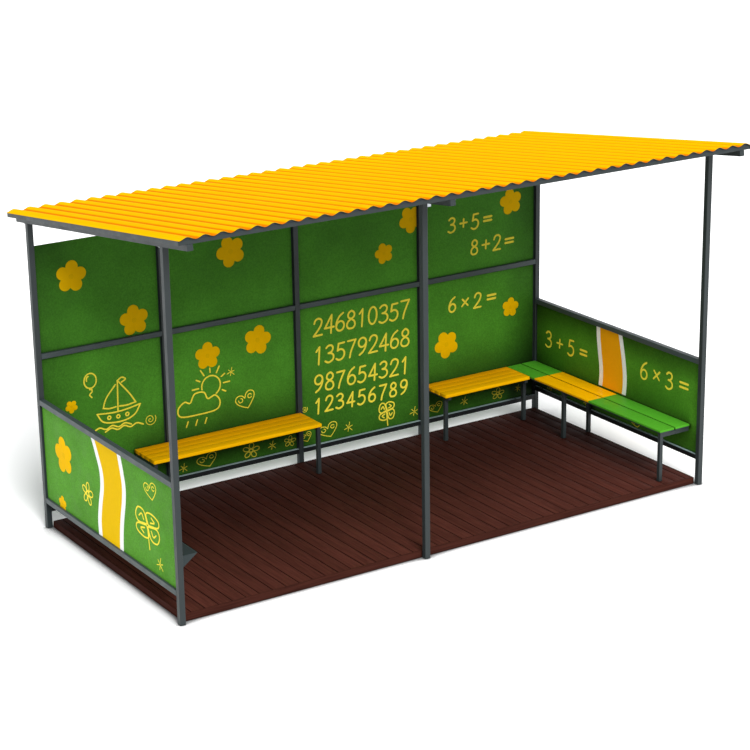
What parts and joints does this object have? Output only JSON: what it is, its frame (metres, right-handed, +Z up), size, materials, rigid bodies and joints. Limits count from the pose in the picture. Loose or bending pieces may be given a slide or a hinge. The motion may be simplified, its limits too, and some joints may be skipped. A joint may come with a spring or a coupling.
{
  "type": "garden pavilion",
  "caption": "Open garden pavilion with a square tube frame, corrugated lean-to roof, panelled back and side walls, benches along two walls and a low board deck.",
  "frame": {"origin": "floor level, under the centre of the overall box", "axes": "+X along the length to the right seen from the open front, +Y from the open front to the back wall, +Z up"},
  "size_m": [4.62, 2.6276, 2.705],
  "materials": {
    "frame": "dark grey powder coat, satin",
    "roof": "yellow colour-coated corrugated sheet, satin",
    "wall_board": "green painted board, satin",
    "seat_yellow": "yellow painted slats, satin",
    "seat_green": "green painted planks, satin",
    "deck": "dark brown stained boards",
    "deck_edge": "dark brown stained timber"
  },
  "bodies": {
    "root": {"post_front_left": "frame", "post_front_middle": "frame", "post_front_right": "frame", "post_back_left": "frame", "post_back_1": "frame", "post_back_2": "frame", "post_back_3": "frame", "post_back_right": "frame", "rafter_left": "frame", "rafter_middle": "frame", "rafter_right": "frame", "header_back_left": "frame", "header_back_right": "frame", "purlin_front": "frame", "purlin_second": "frame", "purlin_third": "frame", "purlin_back": "frame", "roof_sheet": "roof", "back_low_rails": "frame", "back_middle_rails": "frame", "back_board_1": "wall_board", "back_board_2": "wall_board", "back_board_3": "wall_board", "back_board_4": "wall_board", "left_top_rail": "frame", "left_low_rail": "frame", "left_board": "wall_board", "right_top_rail": "frame", "right_low_rail": "frame", "right_board": "wall_board", "left_bench_frame": "frame", "left_bench_seat": "seat_yellow", "right_bench_frame": "frame", "right_bench_seat": "seat_yellow", "side_bench_frame": "frame", "side_bench_front": "seat_green", "side_bench_middle": "seat_yellow", "side_bench_back": "seat_green", "deck_boards": "deck", "deck_edge": "deck_edge", "deck_joists": "deck_edge", "wall_tray": "frame"}
  },
  "joints": []
}
